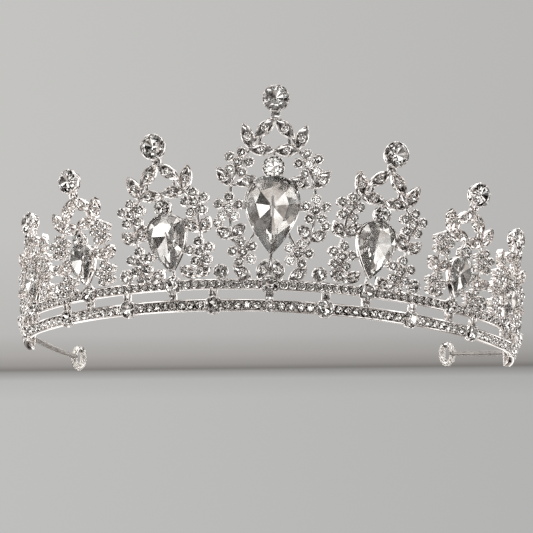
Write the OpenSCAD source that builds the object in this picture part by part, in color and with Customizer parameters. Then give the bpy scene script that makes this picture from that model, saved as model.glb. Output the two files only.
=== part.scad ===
// Bridal tiara, millimetres. Front faces -Y, the two bands lie level and the
// lowest stone cups stand on z = 0.

/* [Headband] */
// Radius of the front arc of the lower band
front_radius = 83; // [78:0.5:88]
// Half angle of the front arc, degrees
front_half_angle = 48; // [45:1:50]
// Radius of the tighter arc behind each temple
temple_radius = 30; // [28:0.5:33]
// Length of band from the centre to each end
band_half_length = 92; // [90:0.5:94]
// Outward lean of the band section, degrees
band_lean = 14; // [8:1:16]
// Height of the lower band
lower_band_height = 2.9; // [2.6:0.1:3.2]
// Height of the upper band
upper_band_height = 2.5; // [2.3:0.1:2.7]
// Height between the centre lines of the two bands
band_spacing = 4.85; // [4.6:0.05:5.1]

/* [Castings] */
// Thickness of the cast plates
plate_thickness = 1.5; // [1.3:0.1:1.8]
// Length of the largest leaves
leaf_length = 6.3; // [5.8:0.1:6.6]
// Width of the leaves
leaf_width = 2.3; // [2.1:0.1:2.5]
// Lean of the centre panel, degrees
centre_lean = 20; // [16:1:22]

/* [Stones] */
// Diameter of the small set stones
pave_diameter = 1.7; // [1.5:0.05:1.75]
// Diameter of the round stones on the points
point_diameter = 5.8; // [5.4:0.1:6]
// Diameter of the stones in the band cups
cup_stone_diameter = 3.4; // [3.1:0.1:3.5]

/* [Ends] */
// Diameter of the end wires
wire_diameter = 1.6; // [1.4:0.1:1.8]
// Outer diameter of the clear sleeve on each loop
sleeve_diameter = 2.1; // [1.9:0.1:2.2]

/* [Hidden] */
$fn = 48;
eps = 0.01;
y_shift = -36.393;
z_shift = 2.328;
s0 = front_radius * front_half_angle * PI / 180;
// positions of the pieces along the band, measured from the centre
motif_s = [0, 23, 46.8, 69.2, 86];
lower_cup_s = [13.2, 35.3, 55.2, 77.2];
spacer_s = [11.3, 34.8, 57.9];
// lean and sideways fan of each motif
motif_lean = [centre_lean, 18.5, 14, 7, 5];
motif_fan = [0, 6.2, 7.6, 10.6, 9];
// the castings' own places, the first pair a little nearer the centre than its cup
casting_s = [0, 22.2, 46.8, 69.2, 86];
spacer_lean = [19, 17, 11];
// heights above the lower band's centre line and half widths, motif by motif
point_y = [48.8, 38.9, 35.4, 31, 32.5];
vee = [[2.35, 41.9], [2.5, 32.4], [2.4, 28.4], [2.2, 24.5], [2.1, 25.9]];
horn = [[6.45, 39.8], [6.7, 29.9], [6.3, 25.9], [5.8, 22.1], [5.3, 23.1]];
bar_leaf = [[3.05, 36.8], [3, 27.3], [2.8, 23.3], [2.7, 19.8], [2.6, 20.5]];
round_y = [32.7, 23.95, 19.5, 17.35, 16.6];
round_d = [4.6, 3.4, 3, 2.6, 2.4];
flower_top = [[8.35, 33.6], [8.3, 23.7], [7.2, 19.6], [5.7, 16.6], [5.1, 16.7]];
flower_low = [[6.5, 12.5], [7.7, 11.9], [6.5, 8.9], [5.3, 8.2], [4.9, 8.0]];
petal_r = [2.5, 2.5, 2.2, 1.95, 1.8];
pear_y = [21.35, 15.3, 13.0, 11.9, 10.9];
pear_w = [12.4, 9.2, 7, 5.6, 5];
pear_h = [17.8, 13.2, 9.6, 8, 7.4];
foot_z = [6.25, 6.25, 6.25, 6.3, 6.3];
leaf_k = [1, 1, 0.93, 0.82, 0.76];
stone_k = [1, 1, 0.93, 0.86, 0.8];

// ---- the run of the band ----
function heading(s) = s <= s0 ? s / front_radius * 180 / PI
  : front_half_angle + (s - s0) / temple_radius * 180 / PI;
function run_x(s) = s <= s0 ? front_radius * sin(heading(s))
  : front_radius * sin(front_half_angle) + temple_radius * (sin(heading(s)) - sin(front_half_angle));
function run_y(s) = s <= s0 ? front_radius * (1 - cos(heading(s)))
  : front_radius * (1 - cos(front_half_angle)) + temple_radius * (cos(front_half_angle) - cos(heading(s)));

module row() translate([0, y_shift, z_shift]) children();
module both() { children(); mirror([1, 0, 0]) children(); }
// local frame on the band: x along it, z up the lean, -y outwards
module on_band(s, lean, fan = 0, out = 0)
  translate([run_x(s) + out * sin(heading(s)), run_y(s) - out * cos(heading(s)), 0])
    rotate([0, 0, heading(s)]) rotate([lean, 0, 0]) rotate([0, fan, 0]) children();
// a sweep of a section along the whole band; the section's x is outwards
module band_sweep(end = band_half_length) {
  translate([0, front_radius, 0]) rotate([0, 0, -90 - front_half_angle])
    rotate_extrude(angle = 2 * front_half_angle, $fn = 180) translate([front_radius, 0]) children();
  both()
    translate([run_x(s0) - temple_radius * sin(front_half_angle),
               run_y(s0) + temple_radius * cos(front_half_angle), 0])
      rotate([0, 0, -90 + front_half_angle])
        rotate_extrude(angle = (end - s0) / temple_radius * 180 / PI, $fn = 120)
          translate([temple_radius, 0]) children();
}

// ---- bands ----
upper_out = 1.2;
back = 1.0;
module section(h, out, z) translate([out, z]) rotate(-band_lean)
  translate([-back, -h / 2]) square([back + 0.6, h]);
module groove(h, out, z) translate([out, z]) rotate(-band_lean)
  translate([-0.2, -h / 2 + 0.45]) square([2, h - 0.9]);
module lower_solid() band_sweep() section(lower_band_height, 0, 0);
module upper_solid() band_sweep() section(upper_band_height, upper_out, band_spacing);
module at_lower(s) on_band(s, band_lean, 0, 0) children();
module at_upper(s) translate([0, 0, band_spacing]) on_band(s, band_lean, 0, upper_out) children();
cup_d = cup_stone_diameter + 0.9;
module cup_body(d = cup_d, front = 1.0) rotate([90, 0, 0]) translate([0, 0, -0.3]) cylinder(d = d, h = 0.3 + front);
module lower_cup_bodies() { both() for (s = lower_cup_s) at_lower(s) cup_body(); at_lower(0) cup_body(3, 0.9); }
module upper_cup_bodies() { both() for (i = [1:4]) at_upper(motif_s[i]) cup_body(); at_upper(0) cup_body(); }

module lower_band() color("#D9DADB") row() difference() {
  band_sweep() difference() { section(lower_band_height, 0, 0); groove(lower_band_height, 0, 0); }
  lower_cup_bodies();
}
module upper_band() color("#D9DADB") row() difference() {
  band_sweep() difference() {
    section(upper_band_height, upper_out, band_spacing);
    groove(upper_band_height, upper_out, band_spacing);
  }
  upper_cup_bodies();
}
module post(s) on_band(s, band_lean, 0, 0.6) translate([-0.95, -0.5, 0]) cube([1.9, 1.2, 4.6]);
module band_posts() color("#D0D1D2") row() difference() {
  union() { both() for (s = concat(lower_cup_s, [23, 46.8, 69.2, 86])) post(s); post(0); }
  lower_solid(); upper_solid(); lower_cup_bodies(); upper_cup_bodies();
}

// ---- stones ----
// a round stone whose girdle lies on y = 0, its table towards -y
module gem(d, crown = 0.35, girdle = 0.1, deep = 0.5) rotate([90, 0, 0]) rotate_extrude()
  polygon([[0, -girdle - deep * d], [d * 0.12, -girdle - deep * d], [d / 2, -girdle], [d / 2, 0],
           [d * 0.3, crown * d * 0.55], [0, crown * d * 0.55]]);
module cup_stone(d) translate([0, -0.9, 0]) gem(d, 0.4, 0.25, 0.2);

module lower_cups() color("#DEDFE0") row() {
  both() for (s = lower_cup_s) at_lower(s) difference() { cup_body(); cup_stone(cup_stone_diameter); }
  at_lower(0) difference() { cup_body(3, 0.9); cup_stone(2.3); }
}
module upper_cups() color("#DEDFE0") row() {
  both() for (i = [1:4]) at_upper(motif_s[i]) difference() { cup_body(); cup_stone(cup_stone_diameter); }
  at_upper(0) difference() { cup_body(); cup_stone(cup_stone_diameter); }
}
module lower_cup_stones() color("#F2F6F8") row() {
  both() for (s = lower_cup_s) at_lower(s) cup_stone(cup_stone_diameter);
  at_lower(0) cup_stone(2.3);
}
module upper_cup_stones() color("#F2F6F8") row() {
  both() for (i = [1:4]) at_upper(motif_s[i]) cup_stone(cup_stone_diameter);
  at_upper(0) cup_stone(cup_stone_diameter);
}
// band stones fill each stretch between cups evenly
function stretch_s(a, b, pitch) = let (n = max(1, round((b - a) / pitch)))
  [for (i = [0:n - 1]) a + (b - a) * (i + 0.5) / n];
cup_r = cup_d / 2 + 0.15;
lower_stone_s = concat(stretch_s(1.75, 13.2 - cup_r, 2.25), stretch_s(13.2 + cup_r, 35.3 - cup_r, 2.25),
  stretch_s(35.3 + cup_r, 55.2 - cup_r, 2.25), stretch_s(55.2 + cup_r, 77.2 - cup_r, 2.25),
  stretch_s(77.2 + cup_r, 91.8, 2.25));
upper_stone_s = concat(stretch_s(cup_r, 23 - cup_r, 2.1), stretch_s(23 + cup_r, 46.8 - cup_r, 2.1),
  stretch_s(46.8 + cup_r, 69.2 - cup_r, 2.1), stretch_s(69.2 + cup_r, 86 - cup_r, 2.1),
  stretch_s(86 + cup_r, 91.8, 2.1));
module band_stone(d) translate([0, 0.17, 0]) rotate([90, 0, 0]) rotate_extrude($fn = 24)
  polygon([[0, 0], [d / 2, 0], [d / 2, 0.65], [d * 0.3, 1], [0, 1]]);
module lower_band_stones() color("#EEF2F5") row()
  both() for (s = lower_stone_s) at_lower(s) band_stone(1.9);
module upper_band_stones() color("#EEF2F5") row()
  both() for (s = upper_stone_s) at_upper(s) band_stone(1.55);

// spacer cups stand on the upper band between the motifs
spacer_d = 3.6;
module at_spacer(i) on_band(spacer_s[i], spacer_lean[i], 0, 0.2) translate([0, 0, 7.9]) children();
module spacer_body() cup_body(spacer_d, 0.8);
module spacer_cups() color("#DEDFE0") row() difference() {
  both() for (i = [0:2]) at_spacer(i) difference() {
    union() { spacer_body(); translate([-0.6, -0.5, -2.6]) cube([1.2, 0.8, 1.6]); }
    cup_stone(2.8);
  }
  upper_solid();
}
module spacer_stones() color("#F2F6F8") row() both() for (i = [0:2]) at_spacer(i) cup_stone(2.8);

// ---- castings ----
function polar(c, r, a) = [c[0] + r * cos(a), c[1] + r * sin(a)];
function petals(c, r, a0) = [for (i = [0:4]) polar(c, r, a0 + 72 * i)];
// leaves as [centre, angle, length]; each carries one stone at its middle
function vee_leaf(k) = [vee[k], -45, leaf_length * leaf_k[k]];
function leaves(k) = concat(
  [vee_leaf(k), [horn[k], 71, leaf_length * leaf_k[k]], [bar_leaf[k], 2, leaf_length * 0.96 * leaf_k[k]]],
  k == 0 ? [[[11.6, 30.1], 50, 5.8], [[6.4, 29.3], -19, 5.4], [[11.1, 16.8], 28, 4.8], [[7.75, 17.6], 134, 4.5],
            [[1.85, 8.55], 109, 5.4], [[6.6, 7.7], 36, 5.6]]
  : k == 1 ? [[[6.5, 18.6], -45, 5.6], [[9.9, 18.1], 52, 4.6], [[3.9, 7.7], -42, 4.8], [[7.5, 7.35], 18, 4.2]]
  : [[[5.9 * leaf_k[k] + 0.3, pear_y[k] + 1.1], -42, 4.6 * leaf_k[k]],
     [[9.1 * leaf_k[k] + 0.3, pear_y[k] + 0.9], 50, 4.2 * leaf_k[k]]]);
function flowers(k) = k == 0 ? [[flower_top[0], 32], [[10.3, 22.9], 90], [flower_low[0], 3]]
  : [[flower_top[k], 20], [flower_low[k], 90]];
function link_beads(k) = k == 0 ? [[12.7, 19.2]] : [];
function pave(k) = concat([for (l = leaves(k)) l[0]],
  [for (f = flowers(k)) each petals(f[0], petal_r[k], f[1])], [for (f = flowers(k)) f[0]], link_beads(k));
// plain ribs that tie the pieces of a motif together, as pairs of points
function ribs(k) = let (v = vee[k], h = horn[k], b = bar_leaf[k], ft = flower_top[k], fl = flower_low[k],
    pw = pear_w[k] / 2, py = pear_y[k])
  concat([[[v[0] + 1.6, v[1] - 1.6], [h[0] - 1.0, h[1] - 2.6]],
    [[h[0] - 1.0, h[1] - 2.6], ft], [[b[0] + 2, b[1]], [h[0] - 1, h[1] - 2.6]],
    [[v[0] + 0.9, v[1] - 1.4], [b[0] + 0.7, b[1]]],
    [[0, b[1]], [0, py]], [fl, [pw * 0.6, py - pear_h[k] * 0.2]], [fl, [fl[0], 5]], [[0, py - pear_h[k] * 0.42], [0, 5]]],
  k == 0 ? [[[0, 8], [1.85, 8.2]], [ft, [9.9, 28.2]], [[9.9, 28.2], [10.3, 22.9]], [[10.3, 22.9], [5.8, 22.9]], [[9.3, 15.6], [10.3, 22.9]],
            [[9.3, 15.6], fl], [[9.9, 28.2], [6, 28.6]]]
          : k == 1 ? [[[5.2, 6.6], [7.7, 6.9]], [ft, [pw * 0.9, py + pear_h[k] * 0.2]], [[fl[0] + 0.6, py - 0.6], fl], [ft, [fl[0] + 0.6, py - 0.6]]]
          : [[ft, [pw * 0.9, py + pear_h[k] * 0.2]], [[fl[0] + 0.6, py - 0.6], fl], [ft, [fl[0] + 0.6, py - 0.6]]]);
function pear_pts(w, h, n = 40) = [for (i = [0:n - 1]) let (t = 360 * i / n)
  [w / 2 * sin(t) * sin(t / 2) / 0.77, -h / 2 * cos(t)]];

module lens(l, w) { a = l / 2; b = w / 2; r = (a * a + b * b) / (2 * b);
  intersection() { translate([0, b - r]) circle(r); translate([0, r - b]) circle(r); } }
module rib2d(p, q, w = 0.9) let (d = q - p) translate(p) rotate(atan2(d[1], d[0]))
  translate([0, -w / 2]) square([norm(d), w]);
module half_plate(k) {
  for (l = leaves(k)) translate(l[0]) rotate(l[1]) lens(l[2], leaf_width);
  for (f = flowers(k)) { translate(f[0]) circle(petal_r[k] * 0.62);
    for (p = petals(f[0], petal_r[k], f[1])) translate(p) circle(1.25 * stone_k[k]); }
  for (b = link_beads(k)) translate(b) circle(1.25);
  for (r = ribs(k)) rib2d(r[0], r[1]);
  rib2d([0, point_y[k] - 3.4], [0, vee[k][1] + leaf_length * leaf_k[k] * 0.354 - 0.9], 1.5);
}
module mirrored2d() { children(); mirror([1, 0]) children(); }
// a flat piece in the motif's plane: its front towards -y
module slab(front, depth) translate([0, -front, 0]) rotate([90, 0, 0]) translate([0, 0, -depth]) linear_extrude(depth) children();
pt_cup = point_diameter + 0.6;
module point_stone(k) translate([0, -0.9, point_y[k]]) gem(point_diameter * (k == 0 ? 1 : 0.97), 0.36, 0.2, 0.36);
module round_stone(k) translate([0, -0.8, round_y[k]]) gem(round_d[k], 0.36, 0.2, 0.36);
module pear_stone(k) {
  w = pear_w[k]; h = pear_h[k]; n = 24; y0 = pear_y[k];
  // rings from the foil back to the table, each a smaller copy of the outline
  rings = [[0.5, 0.35], [1, -1.0], [1, -1.35], [0.72, -2.1 - w * 0.05], [0.42, -2.2 - w * 0.1]];
  cy = h * 0.14;
  pts = [for (r = rings) for (p = pear_pts(w, h, n)) [p[0] * r[0], r[1], y0 + cy + (p[1] - cy) * r[0]]];
  m = len(rings);
  polyhedron(points = pts, faces = concat(
    [[for (i = [0:n - 1]) n - 1 - i]],
    [for (j = [0:m - 2]) for (i = [0:n - 1]) each [[j * n + i, j * n + (i + 1) % n, (j + 1) * n + (i + 1) % n],
                                                   [j * n + i, (j + 1) * n + (i + 1) % n, (j + 1) * n + i]]],
    [[for (i = [0:n - 1]) (m - 1) * n + i]]));
}
// the pocket the pear sits in: its straight wall and a flat seat
module pear_pocket(k) translate([0, 0, pear_y[k]]) slab(3, 3.4) polygon(pear_pts(pear_w[k], pear_h[k]));
module pave_stone(d) translate([0, 0.45, 0]) rotate([90, 0, 0]) rotate_extrude($fn = 24)
  polygon([[0, 0], [d / 2, 0], [d / 2, 0.75], [d * 0.3, 1.1], [0, 1.1]]);
module casting_body(k) difference() {
  union() {
    difference() {
      // the feet are cut flat where they are soldered to the upper rail
      slab(0.3, plate_thickness) difference() {
        mirrored2d() half_plate(k);
        translate([-20, foot_z[k] - 20]) square([40, 20]);
        translate([0, 5.05]) circle(d = cup_d + 0.1);
      }
      // seats for the set stones
      slab(1, 1.45) mirrored2d() for (p = pave(k)) translate(p) circle(d = pave_diameter * stone_k[k]);
    }
    translate([0, 0, pear_y[k]]) slab(1.3, plate_thickness + 1.0)
      polygon(pear_pts(pear_w[k] + 1.1, pear_h[k] + 1.5));
    translate([0, 1.2, round_y[k]]) rotate([90, 0, 0]) cylinder(d = round_d[k] + 0.8, h = 2.1);
    translate([0, 1.9, point_y[k]]) rotate([90, 0, 0]) cylinder(d1 = pt_cup * 0.72, d2 = pt_cup, h = 2.9);
    translate([-1.1, -0.3, point_y[k] - pt_cup / 2 - 1.4]) cube([2.2, 1.5, 2.2]);
  }
  pear_pocket(k);
  point_stone(k);
  round_stone(k);
}
module side(sign) if (sign < 0) mirror([1, 0, 0]) children(); else children();
module on_motif(k, sign) side(sign) on_band(casting_s[k], motif_lean[k], motif_fan[k]) children();
module motif_casting(k, sign) color("#CFD1D3") row() {
  on_motif(k, sign) casting_body(k);
}
module motif_pave(k, sign) color("#EEF2F5") row() on_motif(k, sign)
  both() for (p = pave(k)) translate([p[0], 0, p[1]]) pave_stone(pave_diameter * stone_k[k]);
module motif_pear(k, sign) color("#F4F8FA") row() on_motif(k, sign) pear_stone(k);
module motif_rounds(k, sign) color("#F4F8FA") row() on_motif(k, sign) { point_stone(k); round_stone(k); }

// ---- end wires and loops ----
wire_bend = 133;
loop_r = 3.2;
// the thin wires are bent by hand, so the two sides differ a little
wire_turn = 16.3;
function wire_rise(sign) = sign < 0 ? 4.6 : 12.7;
function wire_yaw(sign) = sign < 0 ? -1.4 : 4.8;
module wire_path(sign) translate([run_x(band_half_length) - 0.2, run_y(band_half_length) - 0.3, 2.4])
  rotate([wire_rise(sign), 0, 0]) rotate([0, 0, wire_yaw(sign)]) translate([-wire_bend, 0, 0]) children();
module at_loop(sign) wire_path(sign) rotate([0, 0, wire_turn])
  translate([wire_bend, loop_r - 0.3, 0]) rotate([0, 90, 0]) children();
module wire_run(sign) wire_path(sign) rotate_extrude(angle = wire_turn, $fn = 360)
  translate([wire_bend, 0]) circle(d = wire_diameter, $fn = 32);
module end_wire(sign) color("#C9CBCD") row() side(sign) {
  wire_run(sign);
  at_loop(sign) rotate_extrude($fn = 64) translate([loop_r, 0]) circle(d = wire_diameter * 0.8, $fn = 32);
  // plate that joins the two band ends and carries the wire
  translate([run_x(band_half_length) - 1.4, run_y(band_half_length), -1.2]) cube([1.6, 1.2, 7.4]);
}
module end_sleeve(sign) color("#E8EEF0") row() side(sign) difference() {
  at_loop(sign) rotate([0, 0, 205]) rotate_extrude(angle = 310, $fn = 64) translate([loop_r, 0])
    difference() { circle(d = sleeve_diameter, $fn = 32); circle(d = wire_diameter * 0.8, $fn = 32); }
  wire_run(sign);
}

lower_band();
upper_band();
band_posts();
lower_cups();
upper_cups();
lower_cup_stones();
upper_cup_stones();
lower_band_stones();
upper_band_stones();
spacer_cups();
spacer_stones();
motif_casting(0, 1);  // centre_casting
motif_pave(0, 1);  // centre_pave
motif_pear(0, 1);  // centre_pear
motif_rounds(0, 1);  // centre_rounds
for (k = [1:4]) {
  motif_casting(k, -1);
  motif_pave(k, -1);
  motif_pear(k, -1);
  motif_rounds(k, -1);
  motif_casting(k, 1);
  motif_pave(k, 1);
  motif_pear(k, 1);
  motif_rounds(k, 1);
}
end_wire(-1);  // left_wire
end_wire(1);  // right_wire
end_sleeve(-1);  // left_sleeve
end_sleeve(1);  // right_sleeve
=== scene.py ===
"""Bridal tiara: silver-plated openwork motifs and stone-set rails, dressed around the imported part."""
import math
import random

import bmesh
import bpy
from mathutils import Matrix, Vector


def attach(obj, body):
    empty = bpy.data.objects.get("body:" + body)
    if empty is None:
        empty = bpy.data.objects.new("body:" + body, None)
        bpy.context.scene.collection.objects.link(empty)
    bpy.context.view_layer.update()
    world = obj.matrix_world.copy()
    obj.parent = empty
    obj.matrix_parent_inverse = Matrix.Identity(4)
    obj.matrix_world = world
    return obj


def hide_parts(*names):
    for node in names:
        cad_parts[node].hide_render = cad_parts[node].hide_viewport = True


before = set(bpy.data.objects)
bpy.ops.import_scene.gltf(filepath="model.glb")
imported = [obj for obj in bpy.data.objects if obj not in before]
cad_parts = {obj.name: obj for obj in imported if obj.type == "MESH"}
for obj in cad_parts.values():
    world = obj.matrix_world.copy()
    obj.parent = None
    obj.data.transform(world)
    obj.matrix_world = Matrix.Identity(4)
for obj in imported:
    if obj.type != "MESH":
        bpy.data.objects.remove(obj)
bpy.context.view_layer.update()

MM = 0.001
SIDES = (-1, 1)
HANDS = (("left", -1), ("right", 1))
MOTIFS = [("centre", 0, 1)] + [(f"{word}{k}", k, side) for word, side in HANDS for k in (1, 2, 3, 4)]

# ---------------------------------------------------------------- layout, the same rules as the part
# Millimetres and degrees. Names in _S are distances along the band from its centre line. Lists of five
# run from the centre motif to the outermost one, and points are (x, height) on a motif's right half.
FRONT_R, FRONT_HALF, TEMPLE_R, BAND_END = 83.0, 48.0, 30.0, 92.0
ROW_SHIFT = Vector((0, -36.393, 2.328))
BAND_LEAN, RAIL_GAP, UPPER_OUT = 14.0, 4.85, 1.2
LOWER_H, UPPER_H = 2.9, 2.5
MOTIF_S = [0, 23, 46.8, 69.2, 86]
LOWER_CUP_S = [13.2, 35.3, 55.2, 77.2]
SPACER_S = [11.3, 34.8, 57.9]
MOTIF_LEAN = [20, 18.5, 14, 7, 5]
MOTIF_FAN = [0, 6.2, 7.6, 10.6, 9]
CASTING_S = [0, 22.2, 46.8, 69.2, 86]
SPACER_LEAN, SPACER_RISE = [19, 17, 11], 7.9
POINT_Y = [48.8, 38.9, 35.4, 31, 32.5]
VEE = [(2.35, 41.9), (2.5, 32.4), (2.4, 28.4), (2.2, 24.5), (2.1, 25.9)]
HORN = [(6.45, 39.8), (6.7, 29.9), (6.3, 25.9), (5.8, 22.1), (5.3, 23.1)]
BAR_LEAF = [(3.05, 36.8), (3, 27.3), (2.8, 23.3), (2.7, 19.8), (2.6, 20.5)]
ROUND_Y = [32.7, 23.95, 19.5, 17.35, 16.6]
ROUND_D = [4.6, 3.4, 3, 2.6, 2.4]
FLOWER_TOP = [(8.35, 33.6), (8.3, 23.7), (7.2, 19.6), (5.7, 16.6), (5.1, 16.7)]
FLOWER_MID = (10.3, 22.9)
FLOWER_LOW = [(6.5, 12.5), (7.7, 11.9), (6.5, 8.9), (5.3, 8.2), (4.9, 8.0)]
PETAL_COUNT, PETAL_R = 5, [2.5, 2.5, 2.2, 1.95, 1.8]
PEAR_Y = [21.35, 15.3, 13.0, 11.9, 10.9]
PEAR_W = [12.4, 9.2, 7, 5.6, 5]
PEAR_H = [17.8, 13.2, 9.6, 8, 7.4]
FOOT_Y = [6.25, 6.25, 6.25, 6.3, 6.3]
LEAF_K = [1, 1, 0.93, 0.82, 0.76]
STONE_K = [1, 1, 0.93, 0.86, 0.8]
LEAF_L, LEAF_W = 6.7, 2.85
PAVE_D, CUP_STONE_D, CUP_D, SMALL_CUP_D, SPACER_D = 1.7, 3.4, 4.3, 3.0, 3.6
POINT_D = 5.8
POINT_CUP_R = POINT_D / 2 + 0.3
CUP_GAP = CUP_D / 2 + 0.15
HAND_SET_TILT = 5

MIRROR_X = Matrix.Scale(-1, 4, (1, 0, 0))
FACE_ON = Matrix.Rotation(math.radians(90), 3, "X")
front_end = FRONT_R * math.radians(FRONT_HALF)
rng = random.Random(11)


def moved(x, y, z):
    return Matrix.Translation((x, y, z))


def rotated(axis, degrees):
    return Matrix.Rotation(math.radians(degrees), 4, axis)


def heading(s):
    """Direction of the band at distance s from the centre, in radians."""
    if s <= front_end:
        return s / FRONT_R
    return math.radians(FRONT_HALF) + (s - front_end) / TEMPLE_R


def run(s):
    """Place of the band at distance s, seen from above: the wide front arc, then the tighter temple arc."""
    a = heading(min(s, front_end))
    x, y = FRONT_R * math.sin(a), FRONT_R * (1 - math.cos(a))
    if s > front_end:
        b = heading(s)
        x += TEMPLE_R * (math.sin(b) - math.sin(a))
        y += TEMPLE_R * (math.cos(a) - math.cos(b))
    return x, y


def place(s, lean, fan=0.0, out=0.0, rise=0.0, side=1):
    """Frame on the band, in millimetres: x along it, z up the lean, -y outwards."""
    x, y = run(s)
    a = heading(s)
    m = moved(x + out * math.sin(a), y - out * math.cos(a), rise)
    m = m @ Matrix.Rotation(a, 4, "Z") @ rotated("X", lean) @ rotated("Y", fan)
    if side < 0:
        m = MIRROR_X @ m
    return Matrix.Translation(ROW_SHIFT) @ m


def at_lower(s, side=1):
    return place(s, BAND_LEAN, side=side)


def at_upper(s, side=1):
    return place(s, BAND_LEAN, out=UPPER_OUT, rise=RAIL_GAP, side=side)


def at_motif(k, side):
    return place(CASTING_S[k], MOTIF_LEAN[k], MOTIF_FAN[k], side=side)


def at_spacer(i, side):
    return place(SPACER_S[i], SPACER_LEAN[i], out=0.2, side=side) @ moved(0, 0, SPACER_RISE)


def leaves(k):
    """Centre, tilt and length of each leaf on one half of a motif."""
    q = LEAF_K[k]
    rows = [(VEE[k], -45, LEAF_L * q), (HORN[k], 71, LEAF_L * q), (BAR_LEAF[k], 2, LEAF_L * 0.93 * q)]
    if k == 0:
        rows += [((11.6, 30.1), 50, 5.8), ((6.4, 29.3), -19, 5.4), ((11.1, 16.8), 28, 4.8),
                 ((7.75, 17.6), 134, 4.5), ((1.85, 8.55), 109, 5.4), ((6.6, 7.7), 36, 5.6)]
    elif k == 1:
        rows += [((6.5, 18.6), -45, 5.6), ((9.9, 18.1), 52, 4.6),
                 ((3.9, 7.7), -42, 4.8), ((7.5, 7.35), 18, 4.2)]
    else:
        rows += [((5.9 * q + 0.3, PEAR_Y[k] + 1.1), -42, 4.6 * q),
                 ((9.1 * q + 0.3, PEAR_Y[k] + 0.9), 50, 4.2 * q)]
    return rows


def flowers(k):
    """Centre and turn of each five-petal flower on one half of a motif."""
    if k == 0:
        return [(FLOWER_TOP[0], 32), (FLOWER_MID, 90), (FLOWER_LOW[0], 3)]
    return [(FLOWER_TOP[k], 20), (FLOWER_LOW[k], 90)]


def petals(centre, r, turn):
    """Centres of the petals around a flower's middle."""
    angles = [math.radians(turn + 360 / PETAL_COUNT * i) for i in range(PETAL_COUNT)]
    return [(centre[0] + r * math.cos(a), centre[1] + r * math.sin(a)) for a in angles]


def link_beads(k):
    """The bead on the centre motif's flank that reaches for its neighbour."""
    return [(12.7, 19.2)] if k == 0 else []


def ribs(k):
    """Ends of the bars behind one half of a motif; bars with both ends at x = 0 stand on its centre line."""
    vee, horn, bar, top, low = VEE[k], HORN[k], BAR_LEAF[k], FLOWER_TOP[k], FLOWER_LOW[k]
    half_w, mid_y, pear_h = PEAR_W[k] / 2, PEAR_Y[k], PEAR_H[k]
    elbow = (horn[0] - 1.0, horn[1] - 2.6)
    rows = [((vee[0] + 1.6, vee[1] - 1.6), elbow),
            (elbow, top),
            ((bar[0] + 2, bar[1]), elbow),
            ((vee[0] + 0.9, vee[1] - 1.4), (bar[0] + 0.7, bar[1])),
            ((0, bar[1]), (0, mid_y)),
            (low, (half_w * 0.6, mid_y - pear_h * 0.2)),
            (low, (low[0], 5)),
            ((0, mid_y - pear_h * 0.42), (0, 5))]
    if k == 0:
        shoulder, hip = (9.9, 28.2), (9.3, 15.6)
        return rows + [((0, 8), (1.85, 8.2)), (top, shoulder), (shoulder, FLOWER_MID),
                       (FLOWER_MID, (5.8, 22.9)), (hip, FLOWER_MID), (hip, low), (shoulder, (6, 28.6))]
    if k == 1:
        rows.append(((5.2, 6.6), (7.7, 6.9)))
    knee = (low[0] + 0.6, mid_y - 0.6)
    return rows + [(top, (half_w * 0.9, mid_y + pear_h * 0.2)), (knee, low), (top, knee)]


def above_foot(a, b, foot):
    """Cuts a rib off at the motif's foot, so that it ends on the upper rail."""
    if min(a[1], b[1]) >= foot:
        return a, b
    low, high = (a, b) if a[1] < b[1] else (b, a)
    t = (foot - low[1]) / (high[1] - low[1])
    low = (low[0] + (high[0] - low[0]) * t, foot)
    if low[0] == 0:
        low = (0, 7.2)
    return low, high


def stretch(a, b, pitch):
    """Even spots between two ends, as near to the pitch as a whole number of them allows."""
    n = max(1, round((b - a) / pitch))
    return [a + (b - a) * (i + 0.5) / n for i in range(n)]


def row_of_stones(stops, first, pitch):
    """Stone spots on one half of a rail, in stretches between the cups that break it."""
    starts = [first] + [s + CUP_GAP for s in stops]
    ends = [s - CUP_GAP for s in stops] + [BAND_END - 0.2]
    return [stretch(a, b, pitch) for a, b in zip(starts, ends)]


LOWER_ROWS = row_of_stones(LOWER_CUP_S, 1.75, 2.25)
UPPER_ROWS = row_of_stones(MOTIF_S[1:], CUP_GAP, 2.1)


# ---------------------------------------------------------------- materials
def srgb(code):
    parts = [int(code[i:i + 2], 16) / 255 for i in (1, 3, 5)]
    return [c / 12.92 if c <= 0.04045 else ((c + 0.055) / 1.055) ** 2.4 for c in parts] + [1.0]


def add_node(tree, kind, settings=None, links=None):
    """Adds one node; settings are socket values or properties, links are socket: source output."""
    node = tree.nodes.new(kind)
    for key, value in (settings or {}).items():
        if isinstance(key, str) and hasattr(node, key) and key not in node.inputs:
            setattr(node, key, value)
        else:
            node.inputs[key].default_value = value
    for key, source in (links or {}).items():
        tree.links.new(source, node.inputs[key])
    return node


def new_material(name):
    mat = bpy.data.materials.new(name)
    mat.use_nodes = True
    tree = mat.node_tree
    tree.nodes.clear()
    out = tree.nodes.new("ShaderNodeOutputMaterial")
    return mat, tree, out


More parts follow.
